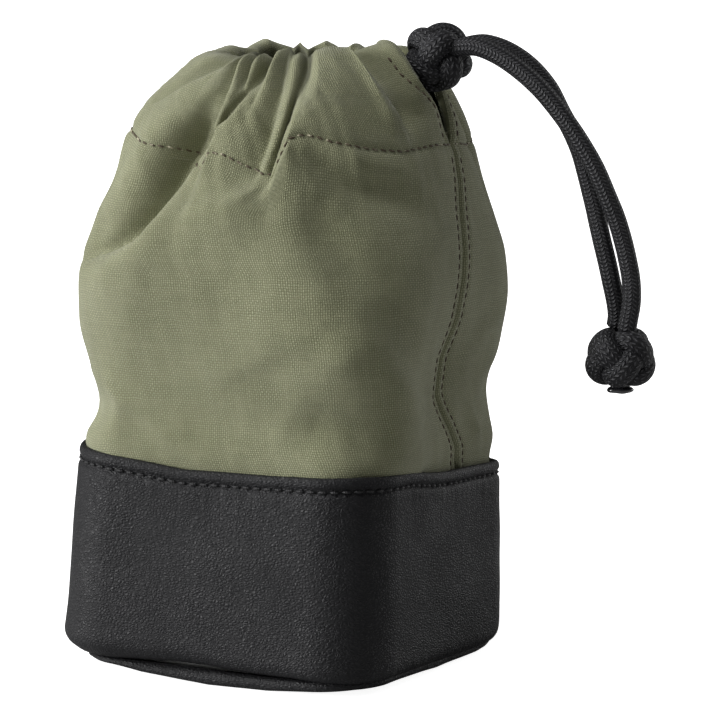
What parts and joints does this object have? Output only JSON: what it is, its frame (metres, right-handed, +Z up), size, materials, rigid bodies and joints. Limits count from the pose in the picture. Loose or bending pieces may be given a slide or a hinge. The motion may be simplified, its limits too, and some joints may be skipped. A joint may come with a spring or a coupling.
{
  "type": "drawstring lens pouch",
  "caption": "Small drawstring lens pouch: gathered olive canvas on a padded black leather base, closed by a braided cord with a sliding button knot.",
  "frame": {"origin": "middle of the flat face of the leather bottom panel that the pouch stands on", "axes": "+Z up to the mouth, -Y towards the front canvas panel, +X towards the slit where the drawcord leaves the casing"},
  "size_m": [0.1207, 0.0817, 0.1344],
  "materials": {
    "leather": "fine pebbled grain, soft satin",
    "canvas": "tight plain weave, matt",
    "lining": "soft brushed cloth",
    "foam": "closed-cell foam",
    "cord": "braided nylon, slight sheen",
    "melted_cord": "melted nylon, glossy"
  },
  "bodies": {
    "pouch": {"leather_wall": "leather", "leather_bottom": "leather", "bottom_padding": "foam", "wall_padding": "foam", "lining": "lining", "canvas_front_panel": "canvas", "canvas_back_panel": "canvas", "drawcord_loop": "cord"},
    "tail": {"tail_strand_front_upper": "cord", "tail_strand_rear_upper": "cord"},
    "slider": {"sliding_knot": "cord"},
    "tail_end": {"tail_strand_front_lower": "cord", "tail_strand_rear_lower": "cord", "end_knot": "cord", "melted_cord_end": "melted_cord"}
  },
  "joints": [
    {"name": "tail_swing", "type": "hinge", "parent": "pouch", "child": "tail", "pos_m": [0.0354, 0, 0.1269], "axis": [0, 0, 1], "range_deg": [-35, 35], "stiffness_Nm_per_rad": 0.002, "deforming": ["drawcord_loop", "tail_strand_front_upper", "tail_strand_rear_upper"]},
    {"name": "knot_slide", "type": "hinge", "parent": "tail", "child": "slider", "pos_m": [0.0457, 0, 0.1104], "axis": [0, 1, 0], "range_deg": [0, 85]},
    {"name": "end_swing", "type": "hinge", "parent": "tail", "child": "tail_end", "pos_m": [0.0692, 0, 0.1049], "axis": [0, 1, 0], "range_deg": [-30, 35], "stiffness_Nm_per_rad": 0.004, "springref_deg": -1.15, "deforming": ["tail_strand_front_lower", "tail_strand_rear_lower"]}
  ]
}
